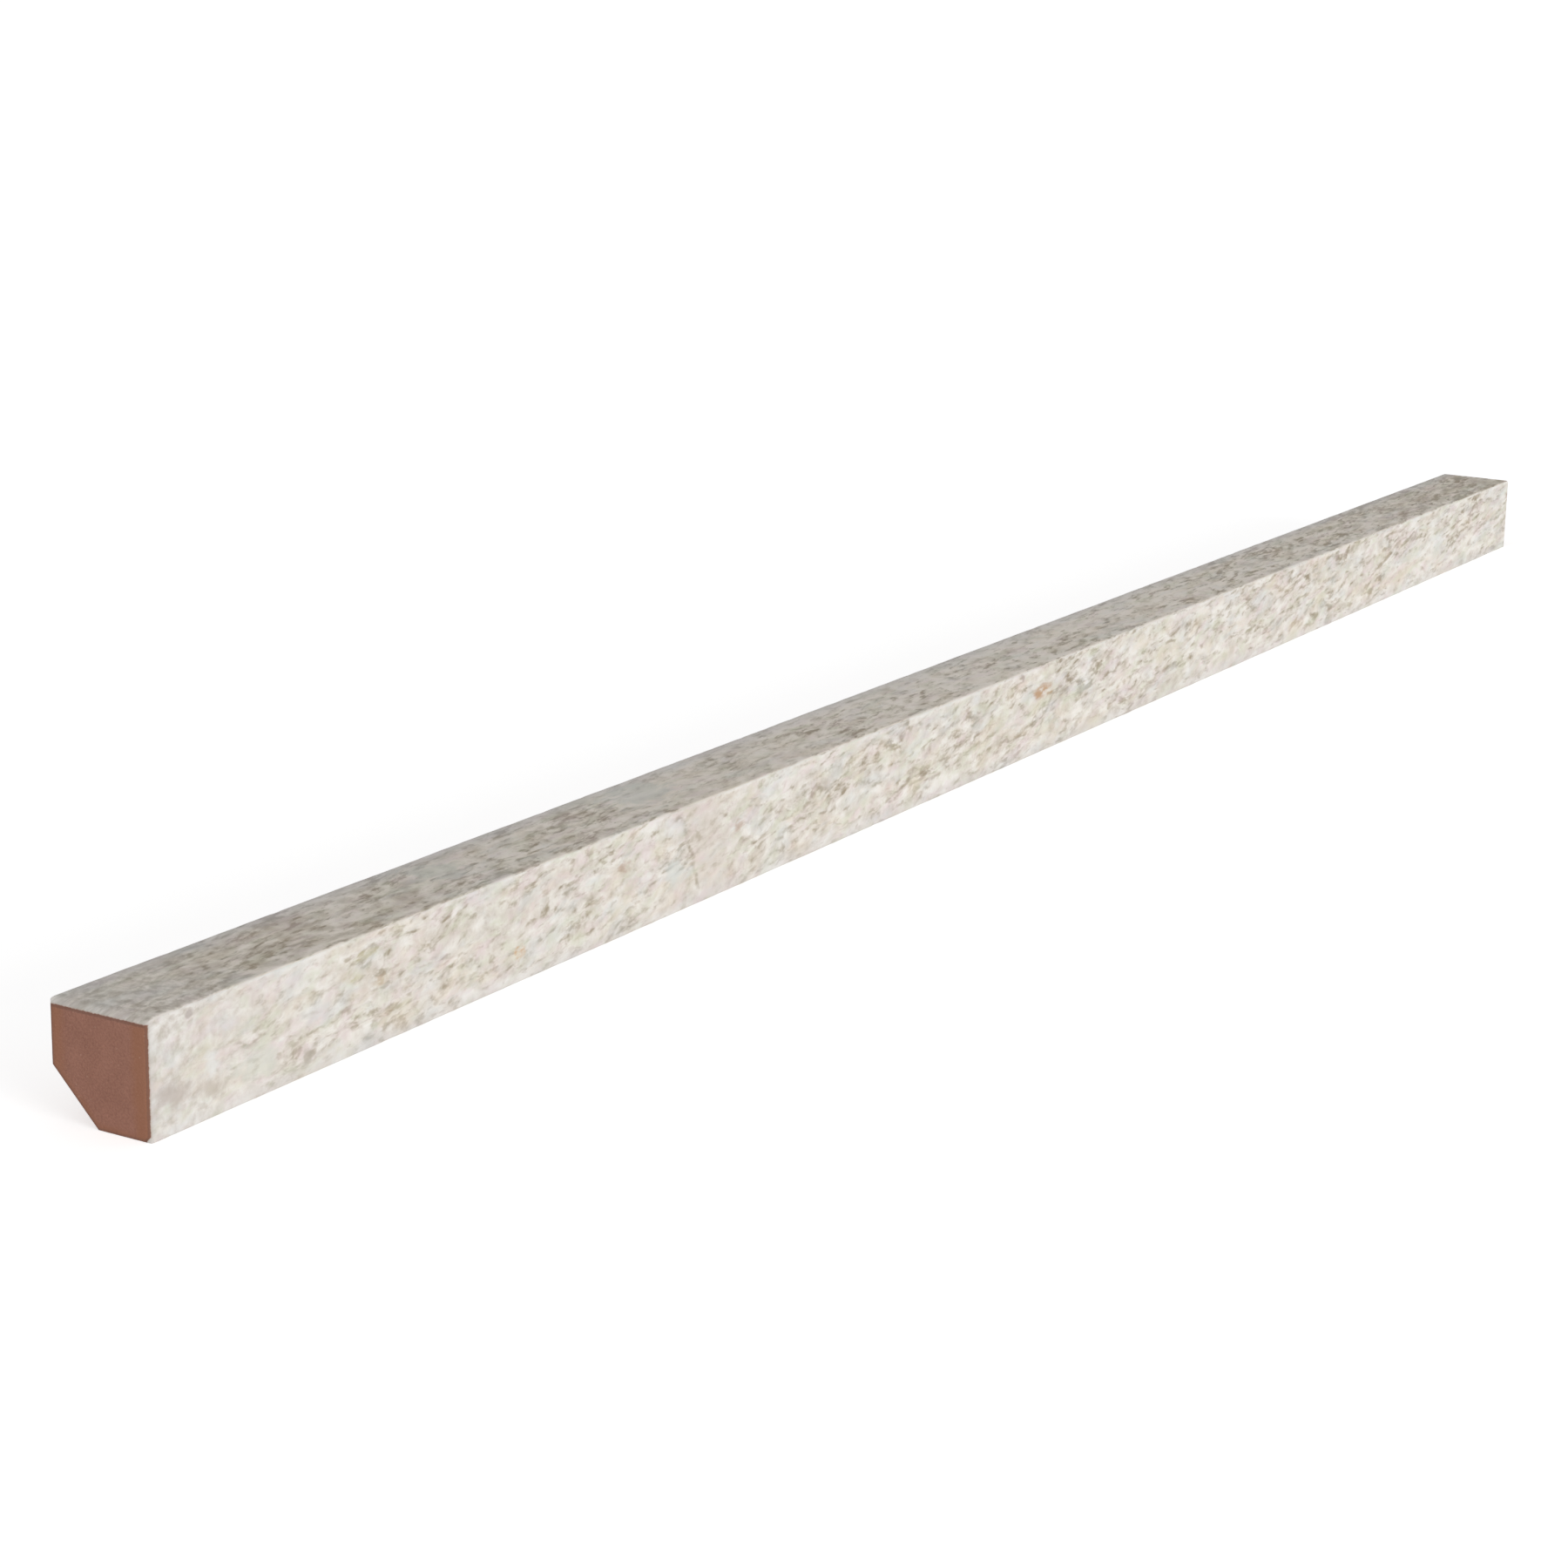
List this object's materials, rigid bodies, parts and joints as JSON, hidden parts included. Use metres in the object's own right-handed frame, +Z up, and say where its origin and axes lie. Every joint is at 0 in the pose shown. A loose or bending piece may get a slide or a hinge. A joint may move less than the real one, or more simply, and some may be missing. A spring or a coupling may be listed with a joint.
{
  "type": "pool coping edge bar tile",
  "caption": "Long square bar of fired red clay, glazed with a pale stone look on its top and front, with the lower back corner cut off at 45 degrees.",
  "frame": {"origin": "middle of the bar's outline seen from above, on the surface that it stands on", "axes": "+X along the bar, -Y out of the glazed front that faces the water, +Z up out of the glazed top"},
  "size_m": [1.2, 0.04, 0.04],
  "materials": {
    "glazed_stoneware": "satin pale quartzite-look glaze on the top and the front, bare matt red clay on the ends, the back, the slanted cut and the underside"
  },
  "bodies": {
    "root": {"coping_bar": "glazed_stoneware"}
  },
  "joints": []
}
